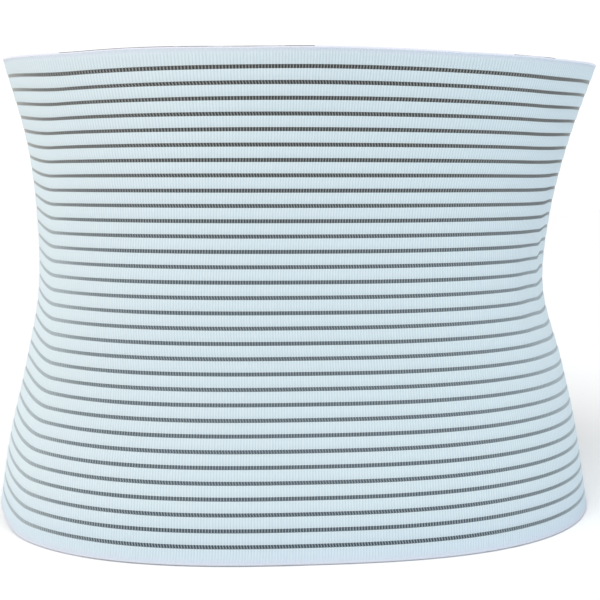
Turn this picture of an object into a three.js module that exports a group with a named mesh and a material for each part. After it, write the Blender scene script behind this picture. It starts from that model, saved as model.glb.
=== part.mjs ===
// Abdominal binder: one wide ribbed elastic band that goes once round the waist, laps over itself
// at the wearer's front and closes there on a hook panel. Smooth rims finish its two long edges.
// Millimetres, +Z up, +Y the wearer's front, -Y the back. The origin is the middle of the waist.

import * as THREE from 'three';

// Driving sizes: the whole binder
const binderHeight = 230;
const waistWidth = 270;
const waistBackDepth = 97;
const waistFrontDepth = 92;
const frontSquareness = 2.2;

// Driving sizes: the elastic and its stripes
const bandThickness = 2;
const stripeCount = 32;
const stripeWidth = 1.8;
const stripeDepth = 0.5;
const plainAboveStripes = 9;
const plainBelowStripes = 8.2;

// Driving sizes: the rims and the closure
const rimHeight = 1.5;
const rimThickness = 2.4;
const lapLength = 70;
const lapRiseLength = 55;
const hookPanelThickness = 0.8;
const hookPanelMargin = 6;
const seamGap = 0.3;

// How finely the faceted surface is cut
const ringSteps = 42;
const outlineSamples = 720;
const rimCorners = 3;
const rimTurn = 2 * Math.PI / 3;
const stripesPerInnerRow = 3;

// Outer sections, evenly spaced from the bottom edge up to the top edge. halfWidth and lean are
// shares of half the waist width, back and front are shares of the waist depths on those sides.
const sections = [
  { halfWidth: 1.182, back: 1.2, front: 1.17, lean: -0.008, squareness: 2.6 },
  { halfWidth: 1.137, back: 1.12, front: 1.13, lean: -0.007, squareness: 2.6 },
  { halfWidth: 1.069, back: 1.045, front: 1.06, lean: -0.006, squareness: 2.6 },
  { halfWidth: 1.002, back: 1, front: 1, lean: -0.018, squareness: 2.55 },
  { halfWidth: 1.022, back: 0.945, front: 1.01, lean: -0.003, squareness: 2.3 },
  { halfWidth: 1.083, back: 0.925, front: 1.05, lean: 0.02, squareness: 2 },
  { halfWidth: 1.178, back: 0.95, front: 1.1, lean: 0.037, squareness: 1.7 },
];

// Creases where the flank folds at the waist. turn is the share of the way round from the front
// centre and at the share of the height; along is a share of the way round, tall and deep are
// shares of the waist width.
const creases = [
  { turn: 0.333, at: 0.52, along: 0.014, tall: 0.11, deep: 0.007 },
];

// Where the worn band rides up a flank: it rises from riseFrom to riseTo and falls from fallFrom
// to fallTo, as shares of the way round. low and high are how far it rides up at the waist and at
// the ribs, as shares of the waist width, and later is how much later it starts at the ribs.
const flankRides = [
  { riseFrom: 0.14, riseTo: 0.24, fallFrom: 0.265, fallTo: 0.325, low: 0.003, high: 0.0156, later: 0 },
  { riseFrom: 0.66, riseTo: 0.71, fallFrom: 0.77, fallTo: 0.87, low: 0.0193, high: 0.0193, later: 0.03 },
];

const lapLift = bandThickness + hookPanelThickness + 2 * seamGap;

// One column of the section table at a share of the height, on a smooth curve through the rows
function sectionValue(column, share) {
  const place = Math.max(share, 0) * (sections.length - 1);
  const row = Math.min(Math.floor(place), sections.length - 2);
  const between = place - row;
  const low = sections[row][column];
  const high = sections[row + 1][column];
  const before = row > 0 ? sections[row - 1][column] : 2 * low - high;
  const after = row + 2 < sections.length ? sections[row + 2][column] : 2 * high - low;
  const rise = (high - before) / 2;
  const fall = (after - low) / 2;
  return low + between * (rise + between * (3 * (high - low) - 2 * rise - fall
    + between * (2 * (low - high) + rise + fall)));
}

// The outline at a share of the height, from the front centre round by +X, the back and -X
function outlineAt(share) {
  const halfWidth = sectionValue('halfWidth', share) * waistWidth / 2;
  const lean = sectionValue('lean', share) * waistWidth / 2;
  const points = [];
  for (let sample = 0; sample <= outlineSamples; sample += 1) {
    const angle = sample / outlineSamples * 2 * Math.PI;
    const side = Math.sin(angle);
    const ahead = Math.cos(angle);
    const isFront = ahead > 0;
    const squareness = isFront ? frontSquareness : sectionValue('squareness', share);
    const depth = isFront
      ? sectionValue('front', share) * waistFrontDepth
      : sectionValue('back', share) * waistBackDepth;
    points.push(new THREE.Vector2(
      lean + halfWidth * Math.sign(side) * Math.abs(side) ** (2 / squareness),
      depth * Math.sign(ahead) * Math.abs(ahead) ** (2 / squareness),
    ));
  }
  return points;
}

function outlineLength(points) {
  let length = 0;
  for (let n = 1; n < points.length; n += 1) length += points[n].distanceTo(points[n - 1]);
  return length;
}

function creaseDepth(turn, share) {
  let depth = 0;
  for (const crease of creases) {
    const along = (turn - crease.turn) / crease.along;
    const up = (share - crease.at) * binderHeight / (crease.tall * waistWidth);
    depth += crease.deep * waistWidth * Math.exp(-along * along - up * up);
  }
  return depth;
}

function rideAt(turn, height) {
  const { smoothstep } = THREE.MathUtils;
  const upper = smoothstep(height / binderHeight + 0.5, 0.55, 0.88);
  let ride = 0;
  for (const flank of flankRides) {
    const later = flank.later * upper;
    const most = THREE.MathUtils.lerp(flank.low, flank.high, upper) * waistWidth;
    const risen = smoothstep(turn, flank.riseFrom + later, flank.riseTo + later);
    ride += most * risen * (1 - smoothstep(turn, flank.fallFrom, flank.fallTo));
  }
  return ride;
}

// The outline as ringSteps equal steps, each with its point and the direction that faces outwards
const ringsByHeight = new Map();
function ringAt(height) {
  if (ringsByHeight.has(height)) return ringsByHeight.get(height);
  const share = height / binderHeight + 0.5;
  const outline = outlineAt(share);
  const stepLength = outlineLength(outline) / ringSteps;
  const points = [];
  let walked = 0;
  for (let n = 1; n < outline.length && points.length < ringSteps; n += 1) {
    const length = outline[n].distanceTo(outline[n - 1]);
    while (points.length < ringSteps && points.length * stepLength <= walked + length) {
      const part = (points.length * stepLength - walked) / length;
      points.push(outline[n - 1].clone().lerp(outline[n], part));
    }
    walked += length;
  }
  const ring = points.map((point, step) => {
    const next = points[(step + 1) % ringSteps];
    const previous = points[(step + ringSteps - 1) % ringSteps];
    const outward = new THREE.Vector2(previous.y - next.y, next.x - previous.x).normalize();
    const depth = creaseDepth(step / ringSteps, share);
    return { point: point.clone().addScaledVector(outward, -depth), outward };
  });
  ringsByHeight.set(height, ring);
  return ring;
}

// A point of a face at a step round the waist (fractions lie on the flat between two steps)
function facePoint(step, rowHeight, inset) {
  const height = rowHeight + rideAt(step / ringSteps, rowHeight);
  const ring = ringAt(height);
  const whole = Math.floor(step);
  const low = ring[(whole + ringSteps) % ringSteps];
  const high = ring[(whole + 1 + ringSteps) % ringSteps];
  const point = low.point.clone().lerp(high.point, step - whole);
  const outward = low.outward.clone().lerp(high.outward, step - whole);
  point.addScaledVector(outward, -inset);
  return new THREE.Vector3(point.x, point.y, height);
}

const waistLength = outlineLength(outlineAt(0.5));
const stepsPerMillimetre = ringSteps / waistLength;
const innerEnd = -lapLength / 2 * stepsPerMillimetre;
const outerEnd = ringSteps + lapLength / 2 * stepsPerMillimetre;
const lapStart = Math.floor(ringSteps + innerEnd);

// The outer end rises smoothly so that it clears the inner end and the hook panel under it
function lapRise(step) {
  const riseStart = lapStart - lapRiseLength * stepsPerMillimetre;
  return lapLift * THREE.MathUtils.smoothstep(step, riseStart, lapStart);
}

// Closes one end of a swept piece by joining its outside rows to its inside rows, from the bottom up
function endFaces(outside, inside) {
  const faces = [];
  const firstInside = outside.length;
  let out = 0;
  let within = inside.length - 1;
  while (out < outside.length - 1 || within > 0) {
    const nextOut = out < outside.length - 1 ? outside[out + 1].height : Infinity;
    const nextWithin = within > 0 ? inside[within - 1].height : Infinity;
    if (nextOut <= nextWithin) {
      faces.push([out, out + 1, firstInside + within]);
      out += 1;
    } else {
      faces.push([out, firstInside + within - 1, firstInside + within]);
      within -= 1;
    }
  }
  return faces;
}

// Carries a closed profile round the waist, from one step to another. outside holds its
// { height, inset } points from the bottom up, and inside those from the top down.
function sweepRound({ outside, inside }, firstStep, lastStep, riseAt) {
  const smallest = 0.02;
  const steps = [firstStep];
  for (let step = Math.ceil(firstStep + smallest); step < lastStep - smallest; step += 1) {
    steps.push(step);
  }
  steps.push(lastStep);
  const profile = [...outside, ...inside];
  const positions = [];
  for (const step of steps) {
    for (const { height, inset } of profile) {
      positions.push(...facePoint(step, height, inset - riseAt(step)).toArray());
    }
  }
  const around = profile.length;
  const faces = [];
  for (let column = 0; column < steps.length - 1; column += 1) {
    for (let corner = 0; corner < around; corner += 1) {
      const a = column * around + corner;
      const b = column * around + (corner + 1) % around;
      faces.push(a, b, a + around, b, b + around, a + around);
    }
  }
  const last = (steps.length - 1) * around;
  for (const [a, b, c] of endFaces(outside, inside)) {
    faces.push(c, b, a, last + a, last + b, last + c);
  }
  const geometry = new THREE.BufferGeometry();
  geometry.setAttribute('position', new THREE.Float32BufferAttribute(positions, 3));
  geometry.setIndex(faces);
  geometry.computeVertexNormals();
  return geometry;
}

// Rows of points up a face, evenly spaced between two heights
function rowsBetween(low, high, count, inset) {
  const rows = [];
  for (let row = 0; row <= count; row += 1) {
    rows.push({ height: THREE.MathUtils.lerp(low, high, row / count), inset });
  }
  return rows;
}

// The elastic band: a groove for each dark stripe outside, a plain face inside
const bandTop = binderHeight / 2 - rimHeight - seamGap;
const bandBottom = -bandTop;
const lowestStripe = plainBelowStripes - binderHeight / 2;
const highestStripe = binderHeight / 2 - plainAboveStripes;
const innerRowCount = Math.ceil(stripeCount / stripesPerInnerRow);

function bandProfile() {
  const outside = [{ height: bandBottom, inset: 0 }];
  for (let stripe = 0; stripe < stripeCount; stripe += 1) {
    const middle = THREE.MathUtils.lerp(lowestStripe, highestStripe, stripe / (stripeCount - 1));
    outside.push({ height: middle - stripeWidth / 2, inset: 0 });
    outside.push({ height: middle, inset: stripeDepth });
    outside.push({ height: middle + stripeWidth / 2, inset: 0 });
  }
  outside.push({ height: bandTop, inset: 0 });
  const inside = rowsBetween(bandTop, bandBottom, innerRowCount, bandThickness);
  return { outside, inside };
}

// A rim: a smooth rounded edging centred on the band's thickness, seated on the band's end
function rimProfile(middleHeight) {
  const outside = [];
  const inside = [];
  for (let corner = 0; corner < rimCorners; corner += 1) {
    const angle = (corner / (rimCorners - 1) - 0.5) * rimTurn;
    const height = middleHeight + rimHeight / 2 * Math.sin(angle) / Math.sin(rimTurn / 2);
    const swell = rimThickness / 2 * Math.cos(angle);
    outside.push({ height, inset: bandThickness / 2 - swell });
    inside.unshift({ height, inset: bandThickness / 2 + swell });
  }
  return { outside, inside };
}

// The hook panel: a thin plate that follows the band, between its two lapped ends
function hookPanelProfile() {
  const top = bandTop - hookPanelMargin;
  const outside = rowsBetween(-top, top, innerRowCount, -seamGap - hookPanelThickness);
  const inside = rowsBetween(top, -top, innerRowCount, -seamGap);
  return { outside, inside };
}

function noRise() {
  return 0;
}

const binder = new THREE.Group();
binder.name = 'abdominal_binder';

function addPiece(name, geometry, color, roughness) {
  const material = new THREE.MeshStandardMaterial({ color, roughness, metalness: 0 });
  const piece = new THREE.Mesh(geometry, material);
  piece.name = name;
  binder.add(piece);
}

const rimMiddle = binderHeight / 2 - rimHeight / 2;
const panelEnd = (lapLength / 2 - hookPanelMargin) * stepsPerMillimetre;
addPiece('elastic_band', sweepRound(bandProfile(), innerEnd, outerEnd, lapRise), 0xdbe7ee, 0.85);
addPiece('top_rim', sweepRound(rimProfile(rimMiddle), innerEnd, outerEnd, lapRise), 0xe6e6f2, 0.7);
addPiece('bottom_rim', sweepRound(rimProfile(-rimMiddle), innerEnd, outerEnd, lapRise), 0xdedfec, 0.7);
addPiece('hook_panel', sweepRound(hookPanelProfile(), -panelEnd, panelEnd, noRise), 0xd0d5da, 0.95);

export default binder;
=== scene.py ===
import math

import bmesh
import bpy
import numpy as np
from mathutils import Matrix, Vector


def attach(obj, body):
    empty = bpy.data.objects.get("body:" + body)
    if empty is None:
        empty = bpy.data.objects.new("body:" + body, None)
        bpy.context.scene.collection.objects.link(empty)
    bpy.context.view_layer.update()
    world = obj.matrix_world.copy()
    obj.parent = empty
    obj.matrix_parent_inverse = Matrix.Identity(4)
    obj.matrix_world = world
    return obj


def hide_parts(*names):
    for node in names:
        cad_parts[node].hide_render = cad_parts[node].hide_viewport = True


# Abdominal binder: a wide ribbed elastic band in its worn form, seen from the back. Sizes are in
# millimetres unless a comment says otherwise. +Z is up, +Y is the front and -Y the back.
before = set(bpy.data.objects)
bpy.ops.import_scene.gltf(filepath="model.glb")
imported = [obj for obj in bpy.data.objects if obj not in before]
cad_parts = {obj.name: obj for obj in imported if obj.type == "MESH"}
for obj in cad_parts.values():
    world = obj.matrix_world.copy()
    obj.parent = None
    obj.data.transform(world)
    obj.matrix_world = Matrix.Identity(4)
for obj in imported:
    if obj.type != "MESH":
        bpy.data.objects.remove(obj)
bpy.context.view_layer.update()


# The white ribs. The elastic is woven as 33 broad white bands that the dark stripes divide, each
# with fine upright wales of soft covered rubber yarn. It is stretched once round the waist, and
# its ends lap over each other at the front.
binder_height = 230.0
waist_width = 270.0
waist_back_depth = 97.0
waist_front_depth = 92.0
front_squareness = 2.2
band_thickness = 2.0
band_reach = 113.85
stripe_count = 32
lowest_stripe = -106.8
highest_stripe = 106.0
rib_pitch = (highest_stripe - lowest_stripe) / (stripe_count - 1)
stripe_width = 1.8
outline_steps = 1440
ring_steps = 840
facing_reach = 3

# A turn is a share of the way round, from the middle of the front by the +X flank, so the middle
# of the back is at 0.5. The outer end is lifted over the inner one between the lift turns.
lap_lift = 3.4
lap_turns = 0.0467
end_turns = 0.5 + lap_turns
lift_turns = (0.8790, 0.9524)

# Shares of half the waist width and of the two depths, evenly spaced from bottom edge to top edge
half_widths = [1.182, 1.137, 1.069, 1.002, 1.022, 1.083, 1.178]
back_depths = [1.2, 1.12, 1.045, 1.0, 0.945, 0.925, 0.95]
front_depths = [1.17, 1.13, 1.06, 1.0, 1.01, 1.05, 1.1]
leans = [-0.008, -0.007, -0.006, -0.018, -0.003, 0.02, 0.037]
back_squarenesses = [2.6, 2.6, 2.6, 2.55, 2.3, 2.0, 1.7]


def up_the_band(values, share):
    """A table's value at a share of the height, on a smooth curve through its evenly spaced rows."""
    place = max(share, 0.0) * (len(values) - 1)
    row = min(int(place), len(values) - 2)
    between = place - row
    low, high = values[row], values[row + 1]
    before = values[row - 1] if row else 2 * low - high
    after = values[row + 2] if row + 2 < len(values) else 2 * high - low
    rise, fall = (high - before) / 2, (after - low) / 2
    bend = 3 * (high - low) - 2 * rise - fall
    return low + between * (rise + between * (bend + between * (2 * (low - high) + rise + fall)))


rings = {}


def ring_at(share):
    """Turn, x, y and outward x, y of the outline at a share of the height, walked by its length."""
    if share not in rings:
        angle = np.linspace(0, 2 * math.pi, outline_steps + 1)
        side, ahead = np.sin(angle), np.cos(angle)
        squareness = np.where(ahead > 0, front_squareness, up_the_band(back_squarenesses, share))
        front = up_the_band(front_depths, share) * waist_front_depth
        back = up_the_band(back_depths, share) * waist_back_depth
        half_width = up_the_band(half_widths, share) * waist_width / 2
        lean = up_the_band(leans, share) * waist_width / 2
        x = lean + half_width * np.sign(side) * np.abs(side) ** (2 / squareness)
        y = np.where(ahead > 0, front, back) * np.sign(ahead) * np.abs(ahead) ** (2 / squareness)
        walked = np.concatenate([[0], np.cumsum(np.hypot(np.diff(x), np.diff(y)))])
        turn = np.linspace(0, 1, ring_steps + 1)
        x, y = np.interp(turn * walked[-1], walked, x), np.interp(turn * walked[-1], walked, y)
        along_x = np.roll(x[:-1], -facing_reach) - np.roll(x[:-1], facing_reach)
        along_y = np.roll(y[:-1], -facing_reach) - np.roll(y[:-1], facing_reach)
        long = np.hypot(along_x, along_y)
        out_x = np.append(-along_y / long, -along_y[0] / long[0])
        out_y = np.append(along_x / long, along_x[0] / long[0])
        rings[share] = (turn, x, y, out_x, out_y, walked[-1])
    return rings[share]


def eased(value, start, end):
    """From 0 at the start to 1 at the end, with a soft beginning and finish."""
    part = np.clip((value - start) / (end - start), 0, 1)
    return part * part * (3 - 2 * part)


# The worn band rides up over both flanks. The flank at -X has tables, evenly spaced from bottom
# edge to top edge: how far, and the turns where the ride starts and where it is full.
far_rides = [5.2, 5.2, 5.2, 5.1, 4.9, 4.4, 5.3]
far_ride_starts = [0.66, 0.66, 0.66, 0.671, 0.676, 0.676, 0.643]
far_ride_ends = [0.71, 0.71, 0.704, 0.715, 0.718, 0.745, 0.766]
far_falls = (0.77, 0.87)
near_ride = 0.81
near_ride_gain = 3.4
near_rises = (0.14, 0.24)
near_falls = (0.22, 0.35)
gain_shares = (0.55, 0.88)
far_edge_ride = 1.3
far_edge_rises = (0.53, 0.62)
far_edge_falls = (0.655, 0.74)
near_edge_ride = 1.1
near_edge_rises = (0.24, 0.3)
near_edge_falls = (0.34, 0.42)
edge_heights = (104, 113)

# The fold by the +X flank: the stripes are lifted up to it, and its hollow is pressed in
fold_lift = 2.2
fold_middle = 15
fold_half_height = 28
fold_rises = (0.2, 0.28)
fold_falls = (0.305, 0.321)
sharp_middle = 18
sharp_half_height = 10
sharp_shifts = (0.009, -0.002)
hollow_depth = 1.89
hollow_turn = 0.333
hollow_half_turns = 0.014
hollow_share = 0.02
hollow_half_share = 0.129


def ridden_up(turn, height):
    """How far the worn band has ridden up: over both flanks, at the top edge, and in the fold."""
    share = height / binder_height + 0.5
    near = near_ride + near_ride_gain * eased(share, *gain_shares)
    near = near * eased(turn, *near_rises) * (1 - eased(turn, *near_falls))
    start, end = up_the_band(far_ride_starts, share), up_the_band(far_ride_ends, share)
    far = up_the_band(far_rides, share) * eased(turn, start, end) * (1 - eased(turn, *far_falls))
    fold = fold_lift * math.exp(-((height - fold_middle) / fold_half_height) ** 2)
    sharp = math.exp(-((height - sharp_middle) / sharp_half_height) ** 2)
    start, end = (fall + shift * sharp for fall, shift in zip(fold_falls, sharp_shifts))
    fold = fold * eased(turn, *fold_rises) * (1 - eased(turn, start, end))
    far_edge = far_edge_ride * eased(turn, *far_edge_rises) * (1 - eased(turn, *far_edge_falls))
    near_edge = near_edge_ride * eased(turn, *near_edge_rises) * (1 - eased(turn, *near_edge_falls))
    return near + far + fold + np.maximum(far_edge, near_edge) * eased(height, *edge_heights)


# The turns between which the stripes pale towards the +X flank, and towards the -X flank, evenly
# spaced from bottom edge to top edge
near_pale_ends = [0.26, 0.255, 0.265, 0.24, 0.285, 0.28, 0.265]
near_pale_starts = [0.43, 0.425, 0.45, 0.44, 0.335, 0.325, 0.345]
far_pale_starts = [0.575, 0.59, 0.585, 0.58, 0.62, 0.63, 0.645]
far_pale_ends = [0.715, 0.71, 0.71, 0.715, 0.725, 0.76, 0.755]
near_pale_rises = (0.14, 0.22)
far_pale_falls = (0.78, 0.86)
near_loss = 0.2
near_loss_heights = (10, 50)
upper_narrowing = 0.35
upper_narrowing_heights = (-30, 40)
off_centre_turns = (0.05, 0.14)


def round_a_flank(turn, height):
    """How far the band bends round a flank: 1 at the flank at -X, and 0 at the back and front."""
    share = height / binder_height + 0.5
    end, start = up_the_band(near_pale_ends, share), up_the_band(near_pale_starts, share)
    near = eased(turn, *near_pale_rises) * (1 - eased(turn, end, start))
    near *= 1 - near_loss * eased(height, *near_loss_heights)
    start, end = up_the_band(far_pale_starts, share), up_the_band(far_pale_ends, share)
    far = eased(turn, start, end) * (1 - eased(turn, *far_pale_falls))
    return np.maximum(near, far)


def narrowing(turn, height):
    """How much nearer two ribs stand over a stripe: at the flanks, and off the upper back centre."""
    off_centre = eased(np.abs(turn - 0.5), *off_centre_turns)
    upper = upper_narrowing * eased(height, *upper_narrowing_heights)
    return round_a_flank(turn, height) + upper * off_centre


def round_the_waist(turn, row_height, inset):
    """Points in metres at turns along a row of the band, moved inwards from its outer face."""
    turn = np.asarray(turn, float)
    height = row_height + ridden_up(turn, row_height)
    at = np.mod(turn, 1.0)
    lift = lap_lift * eased(turn, *lift_turns)
    points = np.zeros((len(turn), 3))
    level = np.floor(height)
    for whole in np.unique(level):
        here = level == whole
        for low, weight in ((whole, 1 - (height - level)), (whole + 1, height - level)):
            turns, x, y, out_x, out_y, _ = ring_at(low / binder_height + 0.5)
            hollow = hollow_depth * np.exp(
                -((at - hollow_turn) / hollow_half_turns) ** 2
                - ((low / binder_height - hollow_share) / hollow_half_share) ** 2)
            proud = lift - hollow - inset
            for axis, ring, out in ((0, x, out_x), (1, y, out_y)):
                moved = np.interp(at, turns, ring) + np.interp(at, turns, out) * proud
                points[here, axis] += (weight * moved)[here]
    points[:, 2] = height
    return points / 1000


# Each wale has a number, which its points carry beside the number of the rib. The wale at the back
# centre is the middle one. The wales are as many at every height, so their pitch isn't the same:
# the tables, evenly spaced from bottom edge to top edge, give it at the back centre as a share of
# wale_pitch, and by how much more the cloth is stretched where the back turns to the flanks.
middle_wale = 1000
wale_count = 593
wale_pitch = 1.335
back_pitches = [1.0, 0.98, 0.95, 0.936, 0.94, 0.97, 1.05]
flank_stretches = [0.01, 0.02, 0.01, 0.055, 0.055, 0.21, 0.3]
wale_steps = np.arange(0, 400, 0.5)
towards_flank = eased(wale_steps, 5, 60) * (1 - eased(wale_steps, 110, 150))
stretched_wales = 0.5 * np.cumsum(towards_flank)
front_share = 0.45


def turns_of(wales, height):
    """Where wales, counted from the back centre, stand: measured at the back, eased at the front."""
    share = height / binder_height + 0.5
    away = np.abs(wales)
    most = away.max()
    stretch = up_the_band(flank_stretches, share)
    pitch = wale_pitch * up_the_band(back_pitches, share) / ring_at(share)[5]
    spare = end_turns - pitch * (most + stretch * stretched_wales[-1])
    turned = pitch * (away + stretch * np.interp(away, wale_steps, stretched_wales))
    return 0.5 + np.sign(wales) * (turned + spare * eased(away / most, front_share, 1.0))


def strips_round(name, profiles, steps_per_wale, corner_rows, wale_relief=0.0, flank_spread=0.0):
    """One mesh of closed strips, each profile a loop of (height, inset) carried round the waist."""
    rows = len(profiles[0])
    half = round(end_turns * wale_count * steps_per_wale)
    steps = np.arange(-half, half + 1)
    wales = steps / steps_per_wale
    across = len(wales)
    relief = np.where(steps % 2, wale_relief, -wale_relief)
    mesh = bmesh.new()
    cloth = mesh.verts.layers.float_vector.new("cloth")
    for profile in profiles:
        middle_height = sum(height for height, _ in profile) / rows
        middle_inset = sum(inset for _, inset in profile) / rows
        made = bmesh.ops.create_grid(mesh, x_segments=across - 1, y_segments=rows, size=1)
        verts = iter(made["verts"])
        for height, inset in [*profile, profile[0]]:
            outwards = -1 if inset < middle_inset else 1
            turn = turns_of(wales, height)
            flank = round_a_flank(turn, height)
            points = round_the_waist(turn, height, inset + outwards * relief)
            spread = flank_spread * narrowing(turn, height)
            points[:, 2] += np.sign(height - middle_height) * spread / 1000
            rib = (height - lowest_stripe) / rib_pitch
            for wale, point, paler in zip(wales, points, flank):
                vert = next(verts)
                vert.co = point
                vert[cloth] = (wale + middle_wale, rib, paler)
        mesh.verts.index_update()
        first = made["verts"][0].index
        for vert in made["verts"]:
            for edge in vert.link_edges:
                a, b = sorted(end.index - first for end in edge.verts)
                upright = a % across == b % across
                edge.smooth = not (upright and wale_relief or a // across % rows in corner_rows)
    bmesh.ops.remove_doubles(mesh, verts=mesh.verts, dist=1e-6)
    bmesh.ops.holes_fill(mesh, edges=mesh.edges, sides=0)
    bmesh.ops.recalc_face_normals(mesh, faces=mesh.faces)
    return finished(name, mesh)


def finished(name, mesh):
    """The mesh as a piece of the object, smooth and riding with it."""
    data = bpy.data.meshes.new(name)
    for face in mesh.faces:
        face.smooth = True
    mesh.to_mesh(data)
    mesh.free()
    piece = bpy.data.objects.new(name, data)
    bpy.context.scene.collection.objects.link(piece)
    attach(piece, "root")
    return piece


def cloth_material(name, roughness, sheen):
    """A new material with a cloth's sheen, its node tree and its shader."""
    material = bpy.data.materials.new(name)
    material.use_nodes = True
    shader = material.node_tree.nodes["Principled BSDF"]
    shader.inputs["Roughness"].default_value = roughness
    shader.inputs["Sheen Weight"].default_value = sheen
    shader.inputs["Sheen Roughness"].default_value = 0.5
    shader.inputs["Specular IOR Level"].default_value = 0.25
    return material, material.node_tree, shader


def node(tree, kind, *links, **settings):
    """A new node; each link is (socket it comes from or a value, name or number of the input)."""
    new = tree.nodes.new(kind)
    for key, value in settings.items():
        setattr(new, key, value)
    for source, socket in links:
        if isinstance(source, bpy.types.NodeSocket):
            tree.links.new(source, new.inputs[socket])
        else:
            new.inputs[socket].default_value = source
    return new


# Shared effect: yarn lying in upright wales. It takes the cloth's own count of wales and ribs,
# and gives the furrow between two wales, the edge of a rib where a highlight is painted, a height
# for the bump, the fleck of the fibres, how far the cloth bends round a flank, and the height off
# the middle in mm.
yarn = bpy.data.node_groups.new("yarn in wales", "ShaderNodeTree")
yarn.interface.new_socket("Cloth", in_out="INPUT", socket_type="NodeSocketVector")
yarn.interface.new_socket("Furrow Width", in_out="INPUT", socket_type="NodeSocketFloat")
yarn.interface.new_socket("Picks per Rib", in_out="INPUT", socket_type="NodeSocketFloat")
yarn.interface.new_socket("Furrow", in_out="OUTPUT", socket_type="NodeSocketFloat")
yarn.interface.new_socket("Rib Edge", in_out="OUTPUT", socket_type="NodeSocketFloat")
yarn.interface.new_socket("Height", in_out="OUTPUT", socket_type="NodeSocketFloat")
yarn.interface.new_socket("Fleck", in_out="OUTPUT", socket_type="NodeSocketFloat")
yarn.interface.new_socket("Flank", in_out="OUTPUT", socket_type="NodeSocketFloat")
yarn.interface.new_socket("Off Middle", in_out="OUTPUT", socket_type="NodeSocketFloat")
given = yarn.nodes.new("NodeGroupInput")
taken = yarn.nodes.new("NodeGroupOutput")
counts = node(yarn, "ShaderNodeSeparateXYZ", (given.outputs["Cloth"], 0))
from_furrow = node(yarn, "ShaderNodeMath", (counts.outputs["X"], 0), (0.5, 1), operation="PINGPONG")
furrow = node(yarn, "ShaderNodeMapRange", (from_furrow.outputs[0], "Value"),
              (given.outputs["Furrow Width"], "From Max"), (1.0, "To Min"), (0.0, "To Max"),
              interpolation_type="SMOOTHSTEP")
from_stripe = node(yarn, "ShaderNodeMath", (counts.outputs["Y"], 0), (0.5, 1), operation="PINGPONG")
rib_edge = node(yarn, "ShaderNodeMapRange", (from_stripe.outputs[0], "Value"), (0.11, "From Min"),
                (0.21, "From Max"), (1.0, "To Min"), (0.0, "To Max"))
picks = node(yarn, "ShaderNodeMath", (counts.outputs["Y"], 0),
             (given.outputs["Picks per Rib"], 1), operation="MULTIPLY")
half_wale = node(yarn, "ShaderNodeMath", (counts.outputs["X"], 0), (0.5, 1), operation="MULTIPLY")
stagger = node(yarn, "ShaderNodeMath", (half_wale.outputs[0], 0), operation="FLOOR")
pick_place = node(yarn, "ShaderNodeMath", (picks.outputs[0], 0), (stagger.outputs[0], 1),
                  operation="ADD")
pick = node(yarn, "ShaderNodeMath", (pick_place.outputs[0], 0), (0.5, 1), operation="PINGPONG")
stretched = node(yarn, "ShaderNodeCombineXYZ", (counts.outputs["X"], "X"), (picks.outputs[0], "Y"))
fibres = node(yarn, "ShaderNodeTexNoise", (stretched.outputs[0], "Vector"), (1.4, "Scale"),
              (3.0, "Detail"), (0.65, "Roughness"))
pick_height = node(yarn, "ShaderNodeMath", (pick.outputs[0], 0), (0.5, 1), operation="MULTIPLY")
soft_height = node(yarn, "ShaderNodeMath", (fibres.outputs["Fac"], 0), (0.6, 1),
                   (pick_height.outputs[0], 2), operation="MULTIPLY_ADD")
height = node(yarn, "ShaderNodeMath", (soft_height.outputs[0], 0), (furrow.outputs[0], 1),
              operation="SUBTRACT")
yarn.links.new(furrow.outputs[0], taken.inputs["Furrow"])
yarn.links.new(rib_edge.outputs[0], taken.inputs["Rib Edge"])
yarn.links.new(height.outputs[0], taken.inputs["Height"])
yarn.links.new(fibres.outputs["Fac"], taken.inputs["Fleck"])
yarn.links.new(counts.outputs["Z"], taken.inputs["Flank"])
from_middle = node(yarn, "ShaderNodeMath", (counts.outputs["Y"], 0),
                   (-lowest_stripe / rib_pitch, 1), operation="SUBTRACT")
off_middle = node(yarn, "ShaderNodeMath", (from_middle.outputs[0], 0), operation="ABSOLUTE")
millimetres = node(yarn, "ShaderNodeMath", (off_middle.outputs[0], 0), (rib_pitch, 1),
                   operation="MULTIPLY")
yarn.links.new(millimetres.outputs[0], taken.inputs["Off Middle"])


def yarn_in(tree, furrow_width, picks_per_rib):
    """The shared yarn effect, placed in a material with its own values."""
    cloth = node(tree, "ShaderNodeAttribute", attribute_name="cloth")
    group = node(tree, "ShaderNodeGroup", node_tree=yarn)
    tree.links.new(cloth.outputs["Vector"], group.inputs["Cloth"])
    group.inputs["Furrow Width"].default_value = furrow_width
    group.inputs["Picks per Rib"].default_value = picks_per_rib
    return group


def mixed(tree, share, first, second):
    """A colour between two: each is a socket or an (r, g, b, 1) value, and so is the share."""
    mix = node(tree, "ShaderNodeMix", data_type="RGBA")
    for source, socket in ((share, 0), (first, 6), (second, 7)):
        if isinstance(source, bpy.types.NodeSocket):
            tree.links.new(source, mix.inputs[socket])
        else:
            mix.inputs[socket].default_value = source
    return mix.outputs[2]


def product(tree, first, second):
    """One number times another: each is a socket or a value."""
    scaled = node(tree, "ShaderNodeMath", (first, 0), (second, 1), operation="MULTIPLY")
    return scaled.outputs[0]


def height_between(tree, start, end):
    """A share that goes from 0 at one height on the piece to 1 at another, both in metres."""
    place = node(tree, "ShaderNodeTexCoord")
    spot = node(tree, "ShaderNodeSeparateXYZ", (place.outputs["Object"], 0))
    share = node(tree, "ShaderNodeMapRange", (spot.outputs["Z"], "Value"), (start, "From Min"),
                 (end, "From Max"))
    return share.outputs[0]


def bumped(tree, shader, height, strength, distance):
    """Relief on the shader's normal, its distance in metres."""
    bump = node(tree, "ShaderNodeBump", (height, "Height"), (strength, "Strength"),
                (distance, "Distance"))
    tree.links.new(bump.outputs[0], shader.inputs["Normal"])


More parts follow.
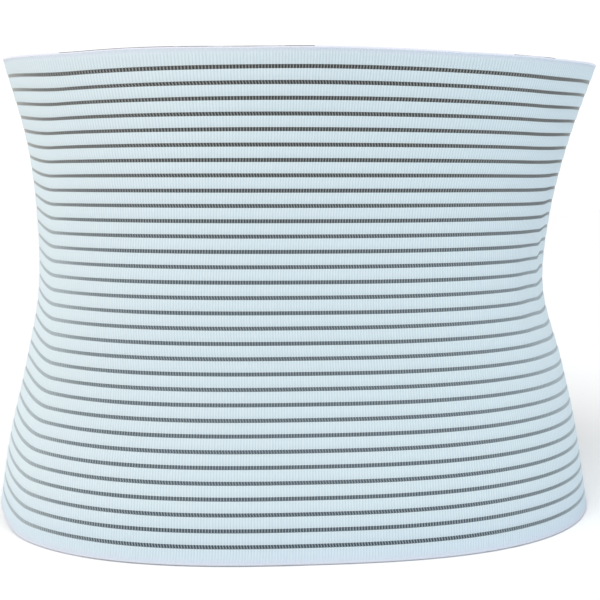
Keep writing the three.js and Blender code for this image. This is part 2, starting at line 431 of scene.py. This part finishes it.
white_yarn, tree, shader = cloth_material("white_ribbed_elastic", 0.82, 0.12)
woven = yarn_in(tree, 0.34, 9.0)
ice_white = (0.614, 0.70, 0.738, 1)
washed_white = (0.655, 0.70, 0.757, 1)
lowest_white_painted_shade = (0.568, 0.655, 0.722, 1)
# Blue-grey for the fibre flecks, and for painted shade in the furrows between the wales
fleck_and_furrow_shade_blue = (0.43, 0.53, 0.59, 1)
rib_edge_highlight = (0.71, 0.79, 0.80, 1)
selvedge_lilac_and_shade = (0.55, 0.595, 0.685, 1)
place = node(tree, "ShaderNodeTexCoord")
wash = node(tree, "ShaderNodeTexNoise", (place.outputs["Object"], "Vector"), (14.0, "Scale"),
            (2.0, "Detail"))
washed = mixed(tree, product(tree, wash.outputs["Fac"], 0.3), ice_white, washed_white)
# Painted shade: the ribs darken over their lowest 24 mm, down towards the floor
washed = mixed(tree, height_between(tree, -0.088, -0.112), washed, lowest_white_painted_shade)
flecked = mixed(tree, product(tree, woven.outputs["Fleck"], 0.16), washed, fleck_and_furrow_shade_blue)
selvedge = node(tree, "ShaderNodeMapRange", (woven.outputs["Off Middle"], "Value"),
                (111.3, "From Min"), (112.8, "From Max"))
plain = node(tree, "ShaderNodeMath", (1.0, 0), (selvedge.outputs[0], 1), operation="SUBTRACT")
# Painted highlight: the ribs are lighter along their edges by the stripes, though not by the rims
rib_edge_highlight_share = product(tree, woven.outputs["Rib Edge"], plain.outputs[0])
# Painted shade in the furrows between the wales, weaker towards the flanks and none by the rims
flatter = node(tree, "ShaderNodeMath", (woven.outputs["Flank"], 0), (-0.8, 1), (1.0, 2),
               operation="MULTIPLY_ADD")
furrow_shade = product(tree, woven.outputs["Furrow"], plain.outputs[0])
furrow_shade = product(tree, furrow_shade, flatter.outputs[0])
with_edge_highlight = mixed(tree, product(tree, rib_edge_highlight_share, 0.6), flecked, rib_edge_highlight)
# By each rim the ribs take the lilac of the edge yarn, with painted shade beside the rim mixed in
bordered = mixed(tree, product(tree, selvedge.outputs[0], 0.65), with_edge_highlight, selvedge_lilac_and_shade)
colour = mixed(tree, product(tree, furrow_shade, 0.55), bordered, fleck_and_furrow_shade_blue)
tree.links.new(colour, shader.inputs["Base Color"])
bumped(tree, shader, woven.outputs["Height"], 0.35, 0.00012)

crown_drop = 0.04
shoulder_drop = 0.28
shoulder_width = 0.75
inner_face = 1.9
wale_relief = 0.08
stripe_spread = 0.35


def rib_profile(rib):
    """The outer face with a soft shoulder at each stripe, then the flatter inner face."""
    low = lowest_stripe + (rib - 1) * rib_pitch + stripe_width / 2 if rib else -band_reach
    high = lowest_stripe + rib * rib_pitch - stripe_width / 2 if rib < stripe_count else band_reach
    low_drop = shoulder_drop if rib else crown_drop
    high_drop = shoulder_drop if rib < stripe_count else crown_drop
    return [
        (low, low_drop), (low + shoulder_width, crown_drop), (high - shoulder_width, crown_drop),
        (high, high_drop), (high, inner_face), (low, inner_face),
    ]


for name, ribs, flat in (
    ("elastic_lower", range(0, 11), (0.076, 0.905)),
    ("elastic_middle", range(11, 22), (0.0755, 0.822)),
    ("elastic_upper", range(22, 33), (0.0769, 0.86)),
):
    profiles = [rib_profile(rib) for rib in ribs]
    piece = strips_round(name, profiles, steps_per_wale=2, corner_rows=(0, 3, 4, 5),
                         wale_relief=wale_relief, flank_spread=stripe_spread)
    piece.data.materials.append(white_yarn)
    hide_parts("elastic_band")


# The dark stripes. Between the ribs the weave opens into a narrow sunken strip of charcoal rubber
# yarn, seen through the white yarns that cross it.
stripe_middles = [lowest_stripe + stripe * rib_pitch for stripe in range(stripe_count)]
strip_half_width = stripe_width / 2 + 0.05
strip_face = 0.5
strip_back = 1.5
profiles = [[
    (middle - strip_half_width, strip_face), (middle + strip_half_width, strip_face),
    (middle + strip_half_width, strip_back), (middle - strip_half_width, strip_back),
] for middle in stripe_middles]
dark_strips = strips_round("dark_strips", profiles, steps_per_wale=0.5, corner_rows=(0, 1, 2, 3))
charcoal, tree, shader = cloth_material("charcoal_rubber_yarn", 0.75, 0.3)
woven = yarn_in(tree, 0.3, 24.0)
strip_fleck = (0.10, 0.125, 0.145, 1)
pale_strip_below = (0.215, 0.26, 0.285, 1)
pale_strip_above = (0.13, 0.135, 0.127, 1)
# The strips' tone changes with height: darkest by the top edge, palest a little below the middle, and
# darker again by the bottom edge
tone_by_height = node(tree, "ShaderNodeValToRGB", (height_between(tree, 0.115, -0.115), "Fac"))
shades = tone_by_height.color_ramp.elements
shades[0].color = (0.040, 0.036, 0.034, 1)
shades[1].color = (0.026, 0.050, 0.075, 1)
for down, shade in (
    (0.24, (0.050, 0.056, 0.060, 1)), (0.5, (0.092, 0.116, 0.138, 1)),
    (0.68, (0.110, 0.140, 0.168, 1)), (0.87, (0.084, 0.112, 0.140, 1)),
):
    shades.new(down).color = shade
flecked = mixed(tree, product(tree, woven.outputs["Fleck"], 0.3), tone_by_height.outputs["Color"], strip_fleck)
pale = mixed(tree, height_between(tree, 0.02, 0.07), pale_strip_below, pale_strip_above)
colour = mixed(tree, woven.outputs["Flank"], flecked, pale)
tree.links.new(colour, shader.inputs["Base Color"])
bumped(tree, shader, woven.outputs["Height"], 0.4, 0.0001)
dark_strips.data.materials.append(charcoal)
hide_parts("elastic_band")


# The crossing yarns. Each wale's yarn crosses the dark strips as a thin grey thread, upright over
# one strip and slanted over the next, as the weave turns back at each rib.
thread_width = 0.44
flank_thread_width = 1.15
thread_overhang = 0.02
thread_face = 0.14
thread_thickness = 0.00045
slanted_wales = 0.42
widened_from = 0.3
widened_to = 0.85


def crossing_yarns(name, stripes):
    """Flat threads over some of the strips, one mesh, each row a grid with its gaps taken out."""
    mesh = bmesh.new()
    cloth = mesh.verts.layers.float_vector.new("cloth")
    gaps = []
    for stripe in stripes:
        slant = 0.0 if stripe % 2 else slanted_wales
        half = int(end_turns * wale_count) - 0.5
        threads = np.repeat(np.arange(-half, half + 1), 2)
        made = bmesh.ops.create_grid(mesh, x_segments=len(threads) - 1, y_segments=1, size=1)
        verts = iter(made["verts"])
        for end in (-1, 1):
            height = stripe_middles[stripe] + end * (stripe_width / 2 + thread_overhang)
            wales = threads + end * slant / 2
            flank = round_a_flank(turns_of(wales, height), height)
            widening = eased(flank, widened_from, widened_to)
            half_width = (thread_width + (flank_thread_width - thread_width) * widening) / 2
            wales[0::2] -= half_width[0::2] / wale_pitch
            wales[1::2] += half_width[1::2] / wale_pitch
            points = round_the_waist(turns_of(wales, height), height, thread_face)
            for point, wale, paler in zip(points, wales, flank):
                vert = next(verts)
                vert.co = point
                vert[cloth] = (wale + middle_wale, (height - lowest_stripe) / rib_pitch, paler)
        for vert, after in zip(made["verts"][1:len(threads):2], made["verts"][2:len(threads):2]):
            gaps += [face for face in vert.link_faces if after in face.verts]
    bmesh.ops.delete(mesh, geom=gaps, context="FACES_ONLY")
    bare = [edge for edge in mesh.edges if not edge.link_faces]
    bmesh.ops.delete(mesh, geom=bare, context="EDGES_FACES")
    bmesh.ops.reverse_faces(mesh, faces=mesh.faces)
    mesh.normal_update()
    bmesh.ops.solidify(mesh, geom=mesh.faces[:], thickness=thread_thickness)
    bmesh.ops.recalc_face_normals(mesh, faces=mesh.faces)
    piece = finished(name, mesh)
    piece.data.shade_flat()
    return piece


grey_thread, tree, shader = cloth_material("grey_crossing_yarn", 0.8, 0.2)
woven = yarn_in(tree, 0.3, 30.0)
upper = height_between(tree, 0.02, 0.07)
dark = mixed(tree, upper, (0.245, 0.285, 0.305, 1), (0.20, 0.21, 0.208, 1))
light = mixed(tree, upper, (0.345, 0.395, 0.425, 1), (0.335, 0.345, 0.34, 1))
pale = mixed(tree, upper, (0.41, 0.475, 0.51, 1), (0.345, 0.36, 0.35, 1))
flecked = mixed(tree, product(tree, woven.outputs["Fleck"], 0.5), dark, light)
colour = mixed(tree, product(tree, woven.outputs["Flank"], 0.8), flecked, pale)
tree.links.new(colour, shader.inputs["Base Color"])
bumped(tree, shader, woven.outputs["Fleck"], 0.4, 0.00008)

for name, stripes in (
    ("crossings_lower", range(0, 11)),
    ("crossings_middle", range(11, 22)),
    ("crossings_upper", range(22, 32)),
):
    piece = crossing_yarns(name, stripes)
    piece.data.materials.append(grey_thread)
    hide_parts("elastic_band")


# The rims. Both long edges end in a smooth, slightly swollen turned edge of finer yarn, woven in
# one with the band. A thin dark grey line runs along the crest in some stretches, fainter below.
rim_middle = 114.25
rim_half_height = 0.75
rim_half_thickness = 1.2


def rim_profile(middle):
    """A rounded edge, a little thicker than the band."""
    angles = [math.radians(30 * corner) for corner in range(12)]
    return [
        (middle + rim_half_height * math.sin(angle),
         band_thickness / 2 - rim_half_thickness * math.cos(angle))
        for angle in angles
    ]


lilac_rim, tree, shader = cloth_material("lilac_white_rim", 0.7, 0.15)
woven = yarn_in(tree, 0.2, 40.0)
cloth = node(tree, "ShaderNodeAttribute", attribute_name="cloth")
counts = node(tree, "ShaderNodeSeparateXYZ", (cloth.outputs["Vector"], 0))
above = node(tree, "ShaderNodeMath", (counts.outputs["Y"], 0), (16.0, 1), operation="GREATER_THAN")
# Painted light: one yarn, lighter on the upper rim and darker on the lower one. The second pair,
# named worn, is the yarn's darker fibre fleck, lit and shaded the same way, not wear.
rim_yarn_lit_and_shaded = mixed(tree, above.outputs[0], (0.585, 0.605, 0.675, 1), (0.75, 0.76, 0.84, 1))
worn = mixed(tree, above.outputs[0], (0.52, 0.54, 0.61, 1), (0.66, 0.675, 0.76, 1))
crest_grey = (0.11, 0.11, 0.14, 1)
flecked = mixed(tree, product(tree, woven.outputs["Fleck"], 0.5), rim_yarn_lit_and_shaded, worn)
crest = node(tree, "ShaderNodeMapRange", (woven.outputs["Off Middle"], "Value"),
             (114.5, "From Min"), (114.6, "From Max"))
along = node(tree, "ShaderNodeCombineXYZ", (counts.outputs["X"], "X"))
stretches = node(tree, "ShaderNodeTexNoise", (along.outputs[0], "Vector"), (0.05, "Scale"),
                 (4.0, "Detail"), (0.6, "Roughness"))
broken = node(tree, "ShaderNodeMapRange", (stretches.outputs["Fac"], "Value"), (0.36, "From Min"),
              (0.5, "From Max"))
long_stretch = node(tree, "ShaderNodeMath", (counts.outputs["X"], 0),
                    (middle_wale + 40.5, 1), (38.5, 2), operation="COMPARE")
short_stretch = node(tree, "ShaderNodeMath", (counts.outputs["X"], 0),
                     (middle_wale - 69.8, 1), (8.0, 2), operation="COMPARE")
bare = node(tree, "ShaderNodeMath", (long_stretch.outputs[0], 0), (short_stretch.outputs[0], 1),
            operation="MAXIMUM")
strongest = node(tree, "ShaderNodeMapRange", (above.outputs[0], "Value"), (0.25, "To Min"))
crest_line = product(tree, crest.outputs[0], broken.outputs[0])
crest_line = product(tree, crest_line, bare.outputs[0])
crest_line = product(tree, crest_line, strongest.outputs[0])
colour = mixed(tree, crest_line, flecked, crest_grey)
tree.links.new(colour, shader.inputs["Base Color"])
bumped(tree, shader, woven.outputs["Fleck"], 0.25, 0.0001)

for name, replaced, middle in (
    ("rim_above", "top_rim", rim_middle),
    ("rim_below", "bottom_rim", -rim_middle),
):
    piece = strips_round(name, [rim_profile(middle)], steps_per_wale=0.5, corner_rows=())
    piece.data.materials.append(lilac_rim)
    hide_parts(replaced)


# The closure. A thin panel of hook tape lies between the lapped ends and grips the inner one. It
# is sewn to the outer end with a row of plain stitches.
panel_turns = 0.0387
panel_reach = 107.2
panel_face = -1.1
panel_thickness = 0.0008
panel_columns = 40
panel_rows = 60
mesh = bmesh.new()
made = bmesh.ops.create_grid(mesh, x_segments=panel_columns, y_segments=panel_rows, size=1)
verts = iter(made["verts"])
for height in np.linspace(-panel_reach, panel_reach, panel_rows + 1):
    across = np.linspace(-panel_turns, panel_turns, panel_columns + 1)
    for point in round_the_waist(across, height, panel_face):
        next(verts).co = point
bmesh.ops.reverse_faces(mesh, faces=mesh.faces)
mesh.normal_update()
bmesh.ops.solidify(mesh, geom=mesh.faces[:], thickness=panel_thickness)
bmesh.ops.recalc_face_normals(mesh, faces=mesh.faces)
panel = finished("hook_plate", mesh)
hooks, tree, shader = cloth_material("hook_tape", 0.5, 0.0)
place = node(tree, "ShaderNodeTexCoord")
loops = node(tree, "ShaderNodeTexVoronoi", (place.outputs["Object"], "Vector"), (700.0, "Scale"))
colour = mixed(tree, loops.outputs["Distance"], (0.80, 0.82, 0.84, 1), (0.58, 0.61, 0.65, 1))
tree.links.new(colour, shader.inputs["Base Color"])
bumped(tree, shader, loops.outputs["Distance"], 0.8, 0.0004)
panel.data.materials.append(hooks)
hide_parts("hook_panel")

# The stitches: four rows inside the panel's edges, each stitch a small rounded float of thread
stitch_pitch = 3.4
stitch_length = 2.5
stitch_width = 0.7
seam_turn = panel_turns - 0.0045
seam_reach = panel_reach - 4.2
seam_height = 2 * seam_reach
seam_width = 2 * seam_turn * ring_at(0.5)[5]
mesh = bmesh.new()
for side in range(4):
    count = round((seam_width if side % 2 else seam_height) / stitch_pitch)
    for stitch in range(count):
        ends = []
        for step in (0, 1):
            along = 2 * ((stitch + 0.5 + (step - 0.5) * stitch_length / stitch_pitch) / count) - 1
            around = 1 + seam_turn * (along if side % 2 else side - 1)
            up = seam_reach * (side - 2 if side % 2 else along)
            for inset in (0.0, -1.0):
                ends.append(Vector(round_the_waist([around], up, inset)[0]))
        long = ends[2] - ends[0]
        out = (ends[1] - ends[0]).normalized()
        wide = long.cross(out).normalized() * stitch_width / 1000
        place = Matrix((long, wide, out * stitch_width / 1000)).transposed().to_4x4()
        place.translation = (ends[0] + ends[2]) / 2
        bmesh.ops.create_icosphere(mesh, subdivisions=2, radius=0.5, matrix=place)
bmesh.ops.recalc_face_normals(mesh, faces=mesh.faces)
stitches = finished("panel_stitches", mesh)
thread, tree, shader = cloth_material("white_sewing_thread", 0.6, 0.1)
place = node(tree, "ShaderNodeTexCoord")
ply = node(tree, "ShaderNodeTexNoise", (place.outputs["Object"], "Vector"), (2500.0, "Scale"))
colour = mixed(tree, ply.outputs["Fac"], (0.84, 0.86, 0.89, 1), (0.70, 0.73, 0.78, 1))
tree.links.new(colour, shader.inputs["Base Color"])
bumped(tree, shader, ply.outputs["Fac"], 0.4, 0.0001)
stitches.data.materials.append(thread)


# The floor, the light and the camera: a seamless pale room, a broad soft light from above and a
# faint lamp on each side of the camera, which stands close behind the band and looks a little down.
floor_level = -0.1152
floor_reach = 6
mesh = bmesh.new()
bmesh.ops.create_grid(mesh, x_segments=1, y_segments=1, size=floor_reach)
bmesh.ops.translate(mesh, verts=mesh.verts, vec=(0, 0, floor_level))
floor = bpy.data.objects.new("floor", bpy.data.meshes.new("floor"))
mesh.to_mesh(floor.data)
mesh.free()
bpy.context.scene.collection.objects.link(floor)
paper, tree, shader = cloth_material("pale_floor", 0.9, 0.0)
place = node(tree, "ShaderNodeTexCoord")
grain = node(tree, "ShaderNodeTexNoise", (place.outputs["Object"], "Vector"), (40.0, "Scale"))
colour = mixed(tree, grain.outputs["Fac"], (0.96, 0.96, 0.96, 1), (0.94, 0.94, 0.94, 1))
tree.links.new(colour, shader.inputs["Base Color"])
floor.data.materials.append(paper)

room = bpy.data.worlds.new("room")
bpy.context.scene.world = room
room.use_nodes = True
tree = room.node_tree
background = tree.nodes["Background"]
background.inputs["Color"].default_value = (1, 1, 1, 1)
seen = node(tree, "ShaderNodeLightPath")
strength = node(tree, "ShaderNodeMapRange", (seen.outputs["Is Camera Ray"], "Value"),
                (0.62, "To Min"), (1.05, "To Max"))
tree.links.new(strength.outputs[0], background.inputs["Strength"])

sun = bpy.data.objects.new("overhead_light", bpy.data.lights.new("overhead_light", "SUN"))
sun.data.energy = 1.7
sun.data.angle = math.radians(50)
sun.location = (-0.5, -0.6, 1.2)
sun.rotation_euler = (-sun.location).to_track_quat("-Z", "Y").to_euler()
bpy.context.scene.collection.objects.link(sun)
for name, spot, size, watts, tint in (
    ("lamp_left", (-1.3, -0.9, 0.0), 0.8, 3.0, (1.0, 0.95, 0.68)),
    ("lamp_right", (1.3, -0.9, 0.0), 0.8, 6.0, (0.50, 0.80, 1.0)),
):
    lamp = bpy.data.objects.new(name, bpy.data.lights.new(name, "AREA"))
    lamp.data.size = size
    lamp.data.energy = watts
    lamp.data.color = tint
    lamp.location = spot
    lamp.rotation_euler = (-Vector(spot)).to_track_quat("-Z", "Y").to_euler()
    bpy.context.scene.collection.objects.link(lamp)

camera_tilt = 0.127
camera_heading = -0.071
camera = bpy.data.objects.new("camera", bpy.data.cameras.new("camera"))
camera.data.sensor_width = 36
camera.data.lens = 54
camera.location = (-0.0333, -0.4991, 0.0536)
camera.rotation_euler = (math.pi / 2 - camera_tilt, 0, camera_heading)
bpy.context.scene.collection.objects.link(camera)
bpy.context.scene.camera = camera
bpy.context.scene.view_settings.view_transform = "Standard"
